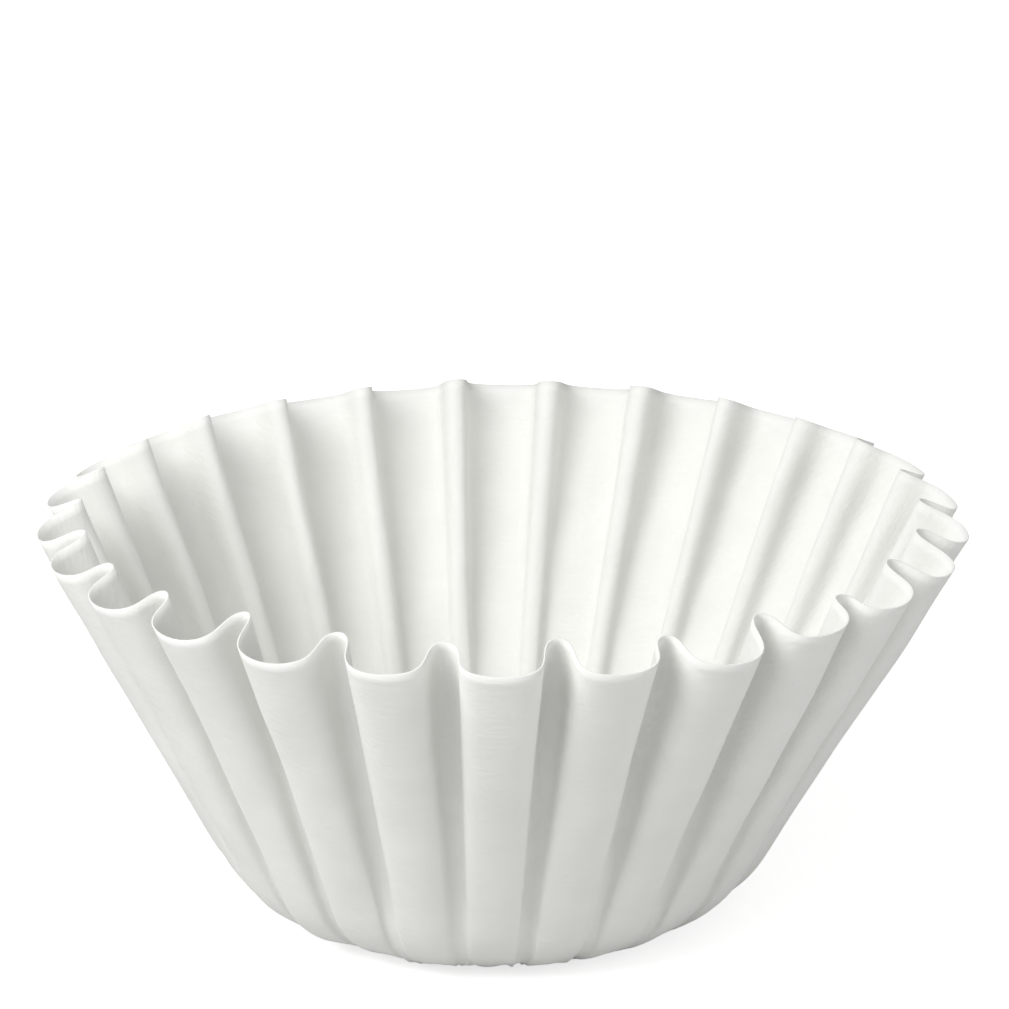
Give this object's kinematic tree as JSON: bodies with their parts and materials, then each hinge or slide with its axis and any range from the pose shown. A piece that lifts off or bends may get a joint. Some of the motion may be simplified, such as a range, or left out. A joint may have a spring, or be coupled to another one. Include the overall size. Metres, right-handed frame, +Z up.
{
  "type": "paper coffee filter",
  "caption": "Round paper filter for a basket coffee maker, with a flat floor and a thin fluted wall that flares up to a wavy rim. It holds ground coffee and lets the brew drain through.",
  "frame": {"origin": "middle of the floor's underside, where the filter rests", "axes": "+Z up through the middle of the filter, towards its open rim; one flute crown faces -Y"},
  "size_m": [0.1432, 0.144, 0.0654],
  "materials": {
    "filter_paper": "uncoated off-white crepe filter paper, matt and slightly fibrous"
  },
  "bodies": {
    "root": {"fluted_filter": "filter_paper"}
  },
  "joints": []
}
